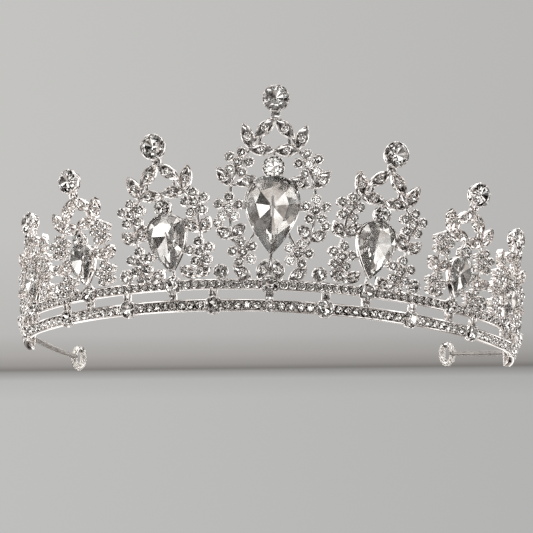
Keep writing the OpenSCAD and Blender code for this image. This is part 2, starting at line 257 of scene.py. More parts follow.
def silver_plate():
    """Rhodium-finished silver plate over a cast alloy: a bright, slightly warm white metal.
    Tumble polishing leaves soft dents about 0.9 mm apart and a patchy haze about 2 mm across."""
    mat, tree, out = new_material("bright_silver_plate")
    spot = add_node(tree, "ShaderNodeTexCoord").outputs["Object"]
    haze = add_node(tree, "ShaderNodeTexNoise", {"Scale": 500.0, "Detail": 3.0, "Roughness": 0.6},
                    {"Vector": spot})
    rough = add_node(tree, "ShaderNodeMapRange",
                     {"From Min": 0.3, "From Max": 0.7, "To Min": 0.05, "To Max": 0.16},
                     {"Value": haze.outputs["Fac"]})
    tint = add_node(tree, "ShaderNodeValToRGB", links={"Fac": haze.outputs["Fac"]})
    tint.color_ramp.elements[0].position, tint.color_ramp.elements[0].color = 0.3, srgb("#E3DFDC")
    tint.color_ramp.elements[1].position, tint.color_ramp.elements[1].color = 0.7, srgb("#F5F3F2")
    dents = add_node(tree, "ShaderNodeTexNoise", {"Scale": 1100.0, "Detail": 1.0}, {"Vector": spot})
    bump = add_node(tree, "ShaderNodeBump", {"Strength": 0.12, "Distance": 0.00004},
                    {"Height": dents.outputs["Fac"]})
    shader = add_node(tree, "ShaderNodeBsdfPrincipled", {"Metallic": 1.0},
                      {"Base Color": tint.outputs["Color"], "Roughness": rough.outputs["Result"],
                       "Normal": bump.outputs["Normal"]})
    tree.links.new(shader.outputs["BSDF"], out.inputs["Surface"])
    return mat


def cut_crystal():
    """Machine-cut lead-free crystal glass: colourless, flat polished facets. The gloss has a faint smear
    about 4 mm across, left by handling."""
    mat, tree, out = new_material("clear_cut_crystal")
    spot = add_node(tree, "ShaderNodeTexCoord").outputs["Object"]
    smear = add_node(tree, "ShaderNodeTexNoise", {"Scale": 260.0, "Detail": 2.0}, {"Vector": spot})
    rough = add_node(tree, "ShaderNodeMapRange",
                     {"From Min": 0.35, "From Max": 0.75, "To Min": 0.0, "To Max": 0.03},
                     {"Value": smear.outputs["Fac"]})
    shader = add_node(tree, "ShaderNodeBsdfPrincipled",
                      {"Base Color": srgb("#FFFFFF"), "Transmission Weight": 1.0, "IOR": 1.56,
                       "Metallic": 0.0},
                      {"Roughness": rough.outputs["Result"]})
    tree.links.new(shader.outputs["BSDF"], out.inputs["Surface"])
    return mat


def mirror_foil(name, haze, shine):
    """Silver foil fired on the back facets of the stones: sends the light back through the crown.
    Its coat is uneven in tone over about 1 mm; more haze and less shine soften what it mirrors."""
    mat, tree, out = new_material(name)
    spot = add_node(tree, "ShaderNodeTexCoord").outputs["Object"]
    grain = add_node(tree, "ShaderNodeTexNoise", {"Scale": 900.0, "Detail": 2.0}, {"Vector": spot})
    tint = add_node(tree, "ShaderNodeValToRGB", links={"Fac": grain.outputs["Fac"]})
    tint.color_ramp.elements[0].position, tint.color_ramp.elements[0].color = 0.35, srgb("#E3E1DE")
    tint.color_ramp.elements[1].position, tint.color_ramp.elements[1].color = 0.65, srgb("#F6F6F5")
    shader = add_node(tree, "ShaderNodeBsdfPrincipled", {"Metallic": shine, "Roughness": haze},
                      {"Base Color": tint.outputs["Color"]})
    tree.links.new(shader.outputs["BSDF"], out.inputs["Surface"])
    return mat


def drawn_wire():
    """Plated spring wire that was drawn, not tumbled: greyer than the castings, with a satin sheen
    that varies over about 1.5 mm."""
    mat, tree, out = new_material("satin_plated_wire")
    spot = add_node(tree, "ShaderNodeTexCoord").outputs["Object"]
    wear = add_node(tree, "ShaderNodeTexNoise", {"Scale": 650.0, "Detail": 2.0}, {"Vector": spot})
    rough = add_node(tree, "ShaderNodeMapRange",
                     {"From Min": 0.3, "From Max": 0.7, "To Min": 0.3, "To Max": 0.45},
                     {"Value": wear.outputs["Fac"]})
    tint = add_node(tree, "ShaderNodeValToRGB", links={"Fac": wear.outputs["Fac"]})
    tint.color_ramp.elements[0].position, tint.color_ramp.elements[0].color = 0.3, srgb("#928E8A")
    tint.color_ramp.elements[1].position, tint.color_ramp.elements[1].color = 0.7, srgb("#B0ADAA")
    shader = add_node(tree, "ShaderNodeBsdfPrincipled", {"Metallic": 1.0},
                      {"Base Color": tint.outputs["Color"], "Roughness": rough.outputs["Result"]})
    tree.links.new(shader.outputs["BSDF"], out.inputs["Surface"])
    return mat


def clear_sleeve():
    """Extruded clear silicone tube: soft gloss, slightly cloudy, with a faint flow ripple 1.4 mm long."""
    mat, tree, out = new_material("clear_silicone_tube")
    spot = add_node(tree, "ShaderNodeTexCoord").outputs["Object"]
    ripple = add_node(tree, "ShaderNodeTexNoise", {"Scale": 700.0, "Detail": 1.0}, {"Vector": spot})
    bump = add_node(tree, "ShaderNodeBump", {"Strength": 0.3, "Distance": 0.00005},
                    {"Height": ripple.outputs["Fac"]})
    rough = add_node(tree, "ShaderNodeMapRange", {"To Min": 0.08, "To Max": 0.2},
                     {"Value": ripple.outputs["Fac"]})
    shader = add_node(tree, "ShaderNodeBsdfPrincipled",
                      {"Base Color": srgb("#F1F1EE"), "Transmission Weight": 0.85, "IOR": 1.41},
                      {"Normal": bump.outputs["Normal"], "Roughness": rough.outputs["Result"]})
    tree.links.new(shader.outputs["BSDF"], out.inputs["Surface"])
    return mat


SILVER, CRYSTAL, SLEEVE, WIRE = silver_plate(), cut_crystal(), clear_sleeve(), drawn_wire()
FOIL = mirror_foil("silver_foil_backing", 0.04, 1.0)
SOFT_FOIL = mirror_foil("satin_foil_backing", 0.05, 0.8)


# ---------------------------------------------------------------- mesh tools
def as_mesh(bm, name, smooth_angle=None):
    me = bpy.data.meshes.new(name)
    bm.to_mesh(me)
    bm.free()
    if smooth_angle:
        me.shade_smooth()
        me.set_sharp_from_angle(angle=math.radians(smooth_angle))
    return me


def new_piece(name, bm, materials, nodes, smooth_angle=None):
    """Closes a bmesh built in millimetres into a piece that stands for CAD nodes."""
    bmesh.ops.scale(bm, vec=(MM, MM, MM), verts=bm.verts)
    me = as_mesh(bm, name, smooth_angle)
    for m in materials:
        me.materials.append(m)
    obj = bpy.data.objects.new(name, me)
    bpy.context.scene.collection.objects.link(obj)
    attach(obj, "root")
    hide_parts(*nodes)
    return obj


def stamp(bm, mesh, matrix):
    """Adds a copy of a mesh, turned the right way out if the matrix mirrors it. Nothing may have been
    deleted from bm before, because the copy is found as its last vertices and faces."""
    old_v, old_f = len(bm.verts), len(bm.faces)
    bm.from_mesh(mesh)
    bm.verts.ensure_lookup_table()
    bm.faces.ensure_lookup_table()
    bmesh.ops.transform(bm, matrix=matrix, verts=bm.verts[old_v:])
    if matrix.determinant() < 0:
        bmesh.ops.reverse_faces(bm, faces=bm.faces[old_f:])


def flat(x, z, turn=0.0, scale=1.0, y=0.0):
    """Place on the face of a motif, with a turn and a scale in its plane."""
    return moved(x, y, z) @ rotated("Y", -turn) @ Matrix.Diagonal((scale, 1.0, scale, 1.0))


def stamp_pair(bm, mesh, base, m):
    """Stamps a mesh on both halves of a motif."""
    for half in (m, MIRROR_X @ m):
        stamp(bm, mesh, base @ half)


def circle_outline(r, angle):
    return r * math.sin(angle), r * math.cos(angle)


def pear_point(w, h, angle):
    """Point on a pear drop, point down; 0.77 is the most that the two sines reach together."""
    return w / 2 * math.sin(angle) * math.sin(angle / 2) / 0.77, -h / 2 * math.cos(angle)


def pear_outline(w, h):
    """Outline of a pear drop; the offset grows it evenly enough for a thin rim."""
    def at(offset, angle):
        return pear_point(w + 2 * offset, h + 2.6 * offset, angle)
    return at


def grow(bm, cap, points, keep):
    """Extrudes a cap face and moves its copy to new points, in the order the cap was built."""
    before = {tuple(round(c, 6) for c in v.co): i for i, v in enumerate(cap)}
    face = [f for f in bm.faces if set(f.verts) == set(cap)][0]
    made = bmesh.ops.extrude_face_region(bm, geom=[face], use_keep_orig=True)["geom"]
    if not keep:
        bmesh.ops.delete(bm, geom=[face], context="FACES_ONLY")
    fresh = [g for g in made if isinstance(g, bmesh.types.BMVert)]
    ordered = [None] * len(cap)
    for v in fresh:
        ordered[before[tuple(round(c, 6) for c in v.co)]] = v
    for v, p in zip(ordered, points):
        v.co = p
    return ordered


def turned(outline, steps, count):
    """A dish, cup or ring in the x-z plane: a capped ring pushed through (offset, y) steps, closed at
    both ends."""
    bm = bmesh.new()
    angles = [2 * math.pi * i / count for i in range(count)]
    cap = bmesh.ops.create_circle(bm, cap_ends=True, segments=count, radius=1)["verts"]

    def ring(offset, y):
        return [(p[0], y, p[1]) for p in (outline(offset, a) for a in angles)]

    for v, p in zip(cap, ring(*steps[0])):
        v.co = p
    for i, step in enumerate(steps[1:]):
        cap = grow(bm, cap, ring(*step), i == 0)
    bmesh.ops.recalc_face_normals(bm, faces=bm.faces)
    return bm


def bead(r, length, segments):
    """A small claw: a stretched ball pointing out of the face."""
    bm = bmesh.new()
    bmesh.ops.create_uvsphere(bm, u_segments=segments, v_segments=4, radius=r)
    bmesh.ops.rotate(bm, cent=(0, 0, 0), matrix=FACE_ON, verts=bm.verts)
    bmesh.ops.scale(bm, vec=(1, length / (2 * r), 1), verts=bm.verts)
    return bm


def block(x, y, z, bevel=0.2, back=0.0):
    """A box with rounded edges, moved back from the face."""
    bm = bmesh.new()
    bmesh.ops.create_cube(bm, size=1)
    bmesh.ops.scale(bm, vec=(x, y, z), verts=bm.verts)
    bmesh.ops.translate(bm, vec=(0, back, 0), verts=bm.verts)
    bmesh.ops.bevel(bm, geom=bm.edges[:], offset=bevel, offset_type="OFFSET", segments=2, profile=0.5,
                    affect="EDGES", material=-1)
    return bm


def gem(rings, outline, axis=(0.0, 0.0)):
    """A cut stone as the hull of its facet corners; faces behind the girdle (y > 0) take the foil.
    rings are (count, size, y, half-step turn); outline maps size and angle to x, z."""
    bm = bmesh.new()
    for count, size, y, turn in rings:
        if size == 0:
            bmesh.ops.create_vert(bm, co=(axis[0], y, axis[1]))
            continue
        made = bmesh.ops.create_circle(bm, cap_ends=False, segments=count, radius=1)["verts"]
        for i, v in enumerate(made):
            x, z = outline(size, 2 * math.pi * (i + turn) / count)
            v.co = (x, y, z)
    bmesh.ops.delete(bm, geom=bm.edges[:], context="EDGES_FACES")
    bmesh.ops.convex_hull(bm, input=bm.verts[:])
    loose = [v for v in bm.verts if not v.link_faces]
    bmesh.ops.delete(bm, geom=loose, context="VERTS")
    bmesh.ops.dissolve_limit(bm, angle_limit=math.radians(1.5), verts=bm.verts, edges=bm.edges)
    bmesh.ops.recalc_face_normals(bm, faces=bm.faces)
    for f in bm.faces:
        f.material_index = 1 if f.calc_center_median().y > 0.0001 else 0
    return bm


def round_gem(d, crown, pavilion):
    """Brilliant cut: octagon table, stars and kites, sixteen girdle facets, split pavilion."""
    return gem([(8, 0.29 * d, -crown, 0), (8, 0.405 * d, -0.62 * crown, 0.5), (16, 0.5 * d, -0.02 * d, 0),
                (16, 0.5 * d, 0.0, 0), (1, 0, pavilion, 0)], circle_outline)


def small_gem(d, crown, pavilion):
    """Chaton cut for the tiny set stones."""
    return gem([(6, 0.27 * d, -crown, 0), (8, 0.5 * d, 0.0, 0.5), (1, 0, pavilion, 0)], circle_outline)


def pear_gem(w, h, crown, pavilion):
    """Pear cut: its table, facet corners and girdle shrink towards a middle that sits above the outline's."""
    lift = h * 0.12

    def at(size, angle):
        x, z = pear_point(w, h, angle)
        return x * size, (z - lift) * size + lift
    return gem([(10, 0.60, -crown, 0), (10, 0.82, -0.6 * crown, 0.5), (20, 1.0, -0.03 * w - 0.15, 0),
                (10, 1.0, 0.0, 0), (1, 0, pavilion, 0)], at, axis=(0, lift))


# ---------------------------------------------------------------- small repeated shapes
def leaf_mesh(length, width):
    """Marquise leaf: raised rim, sunk floor and cut tips, closed by its back."""
    bm = bmesh.new()
    cells_long, cells_wide = 12, 6
    bmesh.ops.create_grid(bm, x_segments=cells_long, y_segments=cells_wide, size=1)
    across = (-1, -0.88, -0.72, 0, 0.72, 0.88, 1)
    depth = {1: -0.36, 0.88: -0.62, 0.72: 0.15, 0: 0.3}  # edge, rim, foot of the rim, floor
    for v in bm.verts:
        u, t = v.co.x, across[round((v.co.y + 1) / 2 * cells_wide)]
        half = width / 2 * (1 - abs(u) ** 1.9) + 0.08
        rim = abs(t)
        front = depth[rim] + (0.2 if rim > 0.8 else -0.25) * abs(u) ** 3
        v.co = (u * length / 2, front, t * half)
    made = bmesh.ops.extrude_face_region(bm, geom=bm.faces[:], use_keep_orig=True)["geom"]
    back = [g for g in made if isinstance(g, bmesh.types.BMVert)]
    for v in back:
        v.co.y = 1.15 if abs(v.co.z) < width * 0.42 else 0.95
    bmesh.ops.recalc_face_normals(bm, faces=bm.faces)
    return bm


PETAL_STEPS = [(1.22, 1.15), (1.34, -0.15), (1.18, -0.55), (1.0, -0.46), (0.88, 0.05), (0.3, 0.75)]
petal_cup = as_mesh(turned(circle_outline, PETAL_STEPS, 10), "petal_cup", 60)
big_claw = as_mesh(bead(0.3, 1.1, 8), "big_claw", 60)
pave_gem = as_mesh(small_gem(PAVE_D * 1.06, 0.36, 0.27), "pave_gem")


def clawed_cup(steps, claws, claw_r, claw_y):
    """A round cup with claws over the rim of its stone."""
    bm = turned(circle_outline, steps, 28)
    for i in range(claws):
        a = 2 * math.pi * (i + 0.5) / claws
        stamp(bm, big_claw, moved(claw_r * math.sin(a), claw_y, claw_r * math.cos(a)))
    return bm


def cup_steps(d, back, front):
    """Closed back, straight wall, rounded rim, ledge for the stone and sunk floor."""
    r = d / 2
    return [(r * 0.8, back), (r - 0.12, back - 0.05), (r, back - 0.3), (r, front + 0.25),
            (r - 0.08, front + 0.05), (r - 0.24, front), (r - 0.38, front + 0.16), (r - 0.42, front + 0.4),
            (r * 0.3, back - 0.15)]


rail_cup = as_mesh(clawed_cup(cup_steps(CUP_D + 0.2, 0.3, -1.0), 6, CUP_D / 2 - 0.2, -1.0), "rail_cup", 45)
rail_gem = as_mesh(small_gem(CUP_STONE_D + 0.6, 0.7, 0.62), "rail_gem")
small_rail_cup = as_mesh(clawed_cup(cup_steps(SMALL_CUP_D, 0.3, -0.9), 6, 1.1, -0.9), "small_rail_cup", 45)
small_rail_gem = as_mesh(round_gem(2.3, 0.5, 0.38), "small_rail_gem")
spacer_cup = as_mesh(clawed_cup(cup_steps(SPACER_D + 0.1, 0.3, -0.8), 6, SPACER_D / 2 - 0.25, -0.8),
                     "spacer_cup", 45)
spacer_gem = as_mesh(small_gem(3.35, 0.6, 0.52), "spacer_gem")


# ---------------------------------------------------------------- motifs
def add_leaves(bm, k, base):
    """Leaves, each with the cup of its set stone."""
    for (x, z), turn, length in leaves(k):
        stamp_pair(bm, as_mesh(leaf_mesh(length, LEAF_W), "leaf", 40), base, flat(x, z, turn))
        stamp_pair(bm, petal_cup, base, flat(x, z, 0, 0.74 * STONE_K[k], 0.05))


def add_flowers(bm, k, base):
    """Five petal cups and a raised middle cup for each flower, and the link bead."""
    q = STONE_K[k]
    for centre, turn in flowers(k):
        for x, z in petals(centre, PETAL_R[k], turn):
            stamp_pair(bm, petal_cup, base, flat(x, z, 0, q))
        stamp_pair(bm, petal_cup, base, flat(*centre, 0, 1.02 * q, -0.12))
    for x, z in link_beads(k):
        stamp_pair(bm, petal_cup, base, flat(x, z))


def add_ribs(bm, k, base):
    for ends in ribs(k):
        a, b = above_foot(*ends, FOOT_Y[k])
        d = Vector((b[0] - a[0], b[1] - a[1]))
        bar = as_mesh(block(d.length + 0.5, 0.8, 0.75, 0.22, 0.72), "rib", 30)
        m = flat((a[0] + b[0]) / 2, (a[1] + b[1]) / 2, math.degrees(math.atan2(d.y, d.x)))
        if abs(a[0]) + abs(b[0]) < 0.01:
            stamp(bm, bar, base @ m)
        else:
            stamp_pair(bm, bar, base, m)


def add_pear_setting(bm, k, base):
    """A thin even bezel with claws on a closed back."""
    outline = pear_outline(PEAR_W[k], PEAR_H[k])
    steps = [(-0.9, 1.2), (0.2, 1.15), (0.4, 0.9), (0.45, -0.7), (0.4, -0.95), (0.2, -0.98), (0.1, -0.8),
             (-0.1, -0.6), (-0.36 * PEAR_W[k], 1.1)]
    stamp(bm, as_mesh(turned(outline, steps, 48), "pear_setting", 40), base @ flat(0, PEAR_Y[k]))
    claws = 10 if k < 2 else 6
    for i in range(claws):
        x, z = outline(0.1, 2 * math.pi * (i + 0.5) / claws)
        stamp(bm, big_claw, base @ moved(x, -1.2, z + PEAR_Y[k]) @ Matrix.Diagonal((0.75, 1, 0.75, 1)))


def add_round_cup(bm, k, base):
    """The cup between the pear and the point."""
    d = ROUND_D[k] + 0.8
    cup = as_mesh(clawed_cup(cup_steps(d, 1.2, -0.9), 6, d / 2 - 0.36, -0.85), "round_cup", 45)
    stamp(bm, cup, base @ flat(0, ROUND_Y[k]))


def add_point_cup(bm, k, base):
    """The deep tapered cup of the point stone, on its neck."""
    r = POINT_CUP_R
    steps = [(r * 0.55, 1.5), (r * 0.78, 1.4), (r * 0.86, 1.15), (r * 0.97, -0.2), (r, -0.75),
             (r - 0.08, -1.0), (r - 0.24, -1.05), (r - 0.34, -0.85), (r * 0.8, 0.15), (r * 0.25, 1.25)]
    cup = as_mesh(clawed_cup(steps, 8, r - 0.3, -1.0), "point_cup", 45)
    stamp(bm, cup, base @ flat(0, POINT_Y[k]))
    neck = as_mesh(block(2.2, 1.5, 2.2, 0.25), "neck", 30)
    stamp(bm, neck, base @ flat(0, POINT_Y[k] - r - 0.3, 0, 1, 0.45))


def build_openwork(name, k, side):
    bm = bmesh.new()
    for add in (add_leaves, add_flowers, add_ribs, add_pear_setting, add_round_cup, add_point_cup):
        add(bm, k, at_motif(k, side))
    new_piece(f"{name}_openwork", bm, [SILVER], [f"{name}_casting"], 42)


def spin_gem():
    """A little turn and tilt, as hand-set stones have."""
    tilt = rotated("X", rng.uniform(-HAND_SET_TILT, HAND_SET_TILT))
    tilt = tilt @ rotated("Z", rng.uniform(-HAND_SET_TILT, HAND_SET_TILT))
    return tilt @ Matrix.Rotation(rng.uniform(0, 2 * math.pi), 4, "Y")


def build_stones(name, k, side):
    base = at_motif(k, side)
    spots = [(leaf[0], 0.8) for leaf in leaves(k)]
    spots += [(centre, 1) for centre, _ in flowers(k)] + [(bead_spot, 1) for bead_spot in link_beads(k)]
    for centre, turn in flowers(k):
        spots += [(petal, 1) for petal in petals(centre, PETAL_R[k], turn)]
    bm = bmesh.new()
    for (x, z), size in spots:
        m = flat(x, z, 0, STONE_K[k] * size, -0.24)
        for half in (m, MIRROR_X @ m):
            stamp(bm, pave_gem, base @ half @ spin_gem())
    new_piece(f"{name}_set_stones", bm, [CRYSTAL, FOIL], [f"{name}_pave"])
    w, h = PEAR_W[k], PEAR_H[k]
    pear = as_mesh(pear_gem(w + 0.45, h + 0.9, 0.75 + w * 0.1, 0.14 * w + 0.3), "pear")
    bm = bmesh.new()
    stamp(bm, pear, base @ flat(0, PEAR_Y[k], 0, 1, -0.95))
    new_piece(f"{name}_pear_stone", bm, [CRYSTAL, SOFT_FOIL], [f"{name}_pear"])
    point_d, round_d = POINT_D * (1 if k == 0 else 0.97), ROUND_D[k]
    point = as_mesh(round_gem(point_d, 1.1, 1.0), "point")
    over_pear = as_mesh(round_gem(round_d, 0.19 * round_d, 0.17 * round_d), "round")
    bm = bmesh.new()
    stamp(bm, point, base @ flat(0, POINT_Y[k], 0, 1, -0.95) @ spin_gem())
    stamp(bm, over_pear, base @ flat(0, ROUND_Y[k], 0, 1, -0.85) @ spin_gem())
    new_piece(f"{name}_round_stones", bm, [CRYSTAL, FOIL], [f"{name}_rounds"])


for motif, index, hand in MOTIFS:
    build_openwork(motif, index, hand)
    build_stones(motif, index, hand)


# ---------------------------------------------------------------- rails
def rail(height, at):
    """A channel rail swept along the band: rounded lips above and below a sunk floor."""
    h = height / 2
    section = [(1.0, -h + 0.15), (0.85, -h), (-0.45, -h), (-0.62, -h + 0.08), (-0.66, -h + 0.2),
               (-0.58, -h + 0.32), (0.15, -h + 0.36), (0.15, h - 0.36), (-0.58, h - 0.32), (-0.66, h - 0.2),
               (-0.62, h - 0.08), (-0.45, h), (0.85, h), (1.0, h - 0.15)]
    bm = bmesh.new()
    cap = bmesh.ops.create_circle(bm, cap_ends=True, segments=len(section), radius=1)["verts"]
    stations = 120
    for i in range(stations + 1):
        s = -BAND_END + 2 * BAND_END * i / stations
        m = at(abs(s), -1 if s < 0 else 1)
        ring = [m @ Vector((0, y, z)) for y, z in section]
        if i:
            cap = grow(bm, cap, ring, i == 1)
        else:
            for v, p in zip(cap, ring):
                v.co = p
    bmesh.ops.recalc_face_normals(bm, faces=bm.faces)
    return as_mesh(bm, "rail")


def wedge_mesh(height):
    """The bright three-sided point on a rail's lower lip, aimed at the middle of the channel."""
    r = height / 4
    bm = bmesh.new()
    bmesh.ops.create_cone(bm, cap_ends=True, segments=3, radius1=1.15 * r, radius2=0.3 * r, depth=0.85)
    bmesh.ops.rotate(bm, cent=(0, 0, 0), matrix=FACE_ON, verts=bm.verts)
    bmesh.ops.bevel(bm, geom=bm.edges[:], offset=0.06, offset_type="OFFSET", segments=1, profile=0.5,
                    affect="EDGES", material=-1)
    bmesh.ops.translate(bm, vec=(0, -0.22, 0.3 + r / 2 - height / 2), verts=bm.verts)
    return bm


def build_lower_rail():
    """The lower rail has a pair of wedges between neighbouring stones."""
    bm = bmesh.new()
    bm.from_mesh(rail(LOWER_H, at_lower))
    wedge = as_mesh(wedge_mesh(LOWER_H), "wedge")
    flip = Matrix.Scale(-1, 4, (0, 0, 1))
    for row in LOWER_ROWS:
        half = (row[1] - row[0]) / 2 if len(row) > 1 else 1.1
        for s in [row[0] - half] + [x + half for x in row]:
            for side in SIDES:
                m = at_lower(max(s, 0), side)
                stamp(bm, wedge, m)
                stamp(bm, wedge, m @ flip)
    new_piece("lower_rail", bm, [SILVER], ["lower_band"], 40)


def build_upper_rail():
    """The upper rail has a small round collar at each stone."""
    bm = bmesh.new()
    bm.from_mesh(rail(UPPER_H, at_upper))
    for row in UPPER_ROWS:
        for s in row:
            for side in SIDES:
                stamp(bm, petal_cup, at_upper(s, side) @ flat(0, 0, 0, 0.8, -0.2))
    new_piece("upper_rail", bm, [SILVER], ["upper_band"], 40)


def row_piece(name, rows, at, d, node):
    bm = bmesh.new()
    gem_mesh = as_mesh(small_gem(d, 0.36, 0.55), name)
    for row in rows:
        for s in row:
            for side in SIDES:
                stamp(bm, gem_mesh, at(s, side) @ moved(0, -0.52, 0) @ spin_gem())
    new_piece(name, bm, [CRYSTAL, FOIL], [node])


build_lower_rail()
build_upper_rail()
row_piece("lower_rail_stones", LOWER_ROWS, at_lower, 2.15, "lower_band_stones")
row_piece("upper_rail_stones", UPPER_ROWS, at_upper, 1.6, "upper_band_stones")


# ---------------------------------------------------------------- cups and posts of the rails
def cup_set(name, sorts, nodes, extra=()):
    """Cups and their stones. Each sort gives places, cup, stone and the stone's seat; extra meshes and
    places are added to the metal."""
    metal, glass = bmesh.new(), bmesh.new()
    for places, cup, stone, seat_y in sorts:
        for m in places:
            stamp(metal, cup, m)
            stamp(glass, stone, m @ moved(0, seat_y, 0) @ spin_gem())
    for mesh, m in extra:
        stamp(metal, mesh, m)
    new_piece(f"{name}_settings", metal, [SILVER], [nodes[0]], 42)
    new_piece(f"{name}_stones", glass, [CRYSTAL, FOIL], [nodes[1]])


lower_spots = [at_lower(s, side) for s in LOWER_CUP_S for side in SIDES]
upper_spots = [at_upper(0)] + [at_upper(s, side) for s in MOTIF_S[1:] for side in SIDES]
spacer_spots = [at_spacer(i, side) for i in range(len(SPACER_S)) for side in SIDES]
spacer_foot = as_mesh(block(1.2, 0.8, 1.2), "foot", 30)
cup_set("lower_round",
        [(lower_spots, rail_cup, rail_gem, -0.9), ([at_lower(0)], small_rail_cup, small_rail_gem, -0.8)],
        ("lower_cups", "lower_cup_stones"))
cup_set("upper_round", [(upper_spots, rail_cup, rail_gem, -0.9)], ("upper_cups", "upper_cup_stones"))
cup_set("spacer", [(spacer_spots, spacer_cup, spacer_gem, -0.75)], ("spacer_cups", "spacer_stones"),
        [(spacer_foot, m @ moved(0, -0.1, -1.9)) for m in spacer_spots])


def build_posts():
    """Posts under the cups: a recessed core between two bright side walls."""
    bm = bmesh.new()
    wall = as_mesh(block(0.42, 1.2, 2.7, 0.12), "post_side", 30)
    core = as_mesh(block(1.3, 0.7, 2.6, 0.1), "post_core", 30)
    for s in LOWER_CUP_S + MOTIF_S:
        for side in (SIDES if s else (1,)):
            m = place(s, BAND_LEAN, out=0.6, side=side) @ moved(0, 0.1, 2.35)
            stamp(bm, core, m @ moved(0, 0.2, 0))
            for x in (-0.74, 0.74):
                stamp(bm, wall, m @ moved(x, 0, 0))
    new_piece("rail_posts", bm, [SILVER], ["band_posts"], 30)


build_posts()

# ---------------------------------------------------------------- end wires
WIRE_D, SLEEVE_D, LOOP_R, WIRE_BEND = 1.6, 2.1, 3.2, 133.0
WIRE_TURN, WIRE_RISE, WIRE_YAW = 16.3, {-1: 4.6, 1: 12.7}, {-1: -1.4, 1: 4.8}
SLEEVE_START, SLEEVE_TURN = 205, 310


def wire_frame(side):
    """Centre of the wire's bend, with the wire's start on +x."""
    x, y = run(BAND_END)
    m = moved(x - 0.2, y - 0.3, 2.4) @ rotated("X", WIRE_RISE[side]) @ rotated("Z", WIRE_YAW[side])
    if side < 0:
        m = MIRROR_X @ m
    return Matrix.Translation(ROW_SHIFT) @ m @ moved(-WIRE_BEND, 0, 0)


def loop_frame(side):
    """Centre of the upright loop at the wire's end."""
    return wire_frame(side) @ rotated("Z", WIRE_TURN) @ moved(WIRE_BEND, LOOP_R - 0.3, 0) @ rotated("Y", 90)


def swept_ring(bm, r, centre_r, matrix, start, turn, steps):
    """Spins a small circle about z from a start angle; a part of a turn is closed at its ends."""
    made = bmesh.new()
    ring = bmesh.ops.create_circle(made, cap_ends=False, segments=16, radius=r)["verts"]
    bmesh.ops.rotate(made, cent=(0, 0, 0), matrix=FACE_ON, verts=ring)
    bmesh.ops.translate(made, vec=(centre_r, 0, 0), verts=ring)
    bmesh.ops.rotate(made, cent=(0, 0, 0), matrix=Matrix.Rotation(math.radians(start), 3, "Z"), verts=ring)
    full = abs(turn) >= 360
    bmesh.ops.spin(made, geom=made.edges[:] + made.verts[:], cent=(0, 0, 0), axis=(0, 0, 1),
                   angle=math.radians(turn), steps=steps, use_merge=full, use_duplicate=False)
    if not full:
        bmesh.ops.holes_fill(made, edges=[e for e in made.edges if e.is_boundary], sides=0)
    bmesh.ops.remove_doubles(made, verts=made.verts, dist=0.0005)
    bmesh.ops.recalc_face_normals(made, faces=made.faces)
    stamp(bm, as_mesh(made, "swept", 50), matrix)


def build_end_wire(word, side):
    """The drawn wire, the polished plate that joins the rail ends, and the polished loop."""
    bm = bmesh.new()
    swept_ring(bm, WIRE_D / 2, WIRE_BEND, wire_frame(side), 0, WIRE_TURN, 24)
    drawn = len(bm.faces)
    x, y = run(BAND_END)
    m = moved(x - 0.6, y + 0.6, 2.5)
    if side < 0:
        m = MIRROR_X @ m
    stamp(bm, as_mesh(block(1.6, 1.2, 7.4, 0.3), "end_plate", 30), Matrix.Translation(ROW_SHIFT) @ m)
    swept_ring(bm, WIRE_D * 0.4, LOOP_R, loop_frame(side), 0, 360, 32)
    for face in bm.faces[drawn:]:
        face.material_index = 1
    new_piece(f"{word}_end_wire", bm, [WIRE, SILVER], [f"{word}_wire"], 45)


def build_sleeve(word, side):
    bm = bmesh.new()
    swept_ring(bm, SLEEVE_D / 2, LOOP_R, loop_frame(side), SLEEVE_START, SLEEVE_TURN, 40)
    new_piece(f"{word}_loop_sleeve", bm, [SLEEVE], [f"{word}_sleeve"], 50)


for word, hand in HANDS:
    build_end_wire(word, hand)
    build_sleeve(word, hand)


# ---------------------------------------------------------------- floor, light and camera
def stage_plane(name, size, z, colour):
    """A matt paper sheet under the tiara, kept out of what the metal and the stones mirror."""
    bm = bmesh.new()
    bmesh.ops.create_grid(bm, x_segments=1, y_segments=1, size=size)
    bmesh.ops.translate(bm, vec=(0, 0, z), verts=bm.verts)
    me = as_mesh(bm, name)
    mat, tree, out = new_material(f"{name}_paper")
    shader = add_node(tree, "ShaderNodeBsdfPrincipled", {"Base Color": srgb(colour), "Roughness": 0.8})
    tree.links.new(shader.outputs["BSDF"], out.inputs["Surface"])
    me.materials.append(mat)
    obj = bpy.data.objects.new(name, me)
    bpy.context.scene.collection.objects.link(obj)
    obj.visible_glossy = False
    obj.visible_transmission = False


stage_plane("floor", 3.0, -0.066, "#D9D8D5")


def softbox(name, place_m, aim, size, watts, colour="#FFFFFF"):
    light = bpy.data.lights.new(name, "AREA")
    light.shape, light.size, light.size_y = "RECTANGLE", size[0], size[1]
    light.energy, light.color = watts, srgb(colour)[:3]
    obj = bpy.data.objects.new(name, light)
    obj.location = place_m
    obj.rotation_euler = (Vector(aim) - Vector(place_m)).to_track_quat("-Z", "Y").to_euler()
    bpy.context.scene.collection.objects.link(obj)


CENTRE = (0, -0.01, 0.03)
softbox("key", (-0.55, -0.75, 0.75), CENTRE, (0.45, 0.45), 2.6, "#FFFDFA")
softbox("fill", (0.8, -0.55, 0.25), CENTRE, (0.2, 0.6), 0.7, "#FAFBFF")
softbox("top", (0.0, 0.1, 0.9), CENTRE, (0.8, 0.5), 2.6)
softbox("low_front", (0.1, -0.62, -0.25), CENTRE, (0.35, 0.08), 0.16)
softbox("rim_left", (-0.7, 0.6, 0.3), CENTRE, (0.15, 0.5), 0.6)
softbox("rim_right", (0.7, 0.6, 0.3), CENTRE, (0.15, 0.5), 0.6)

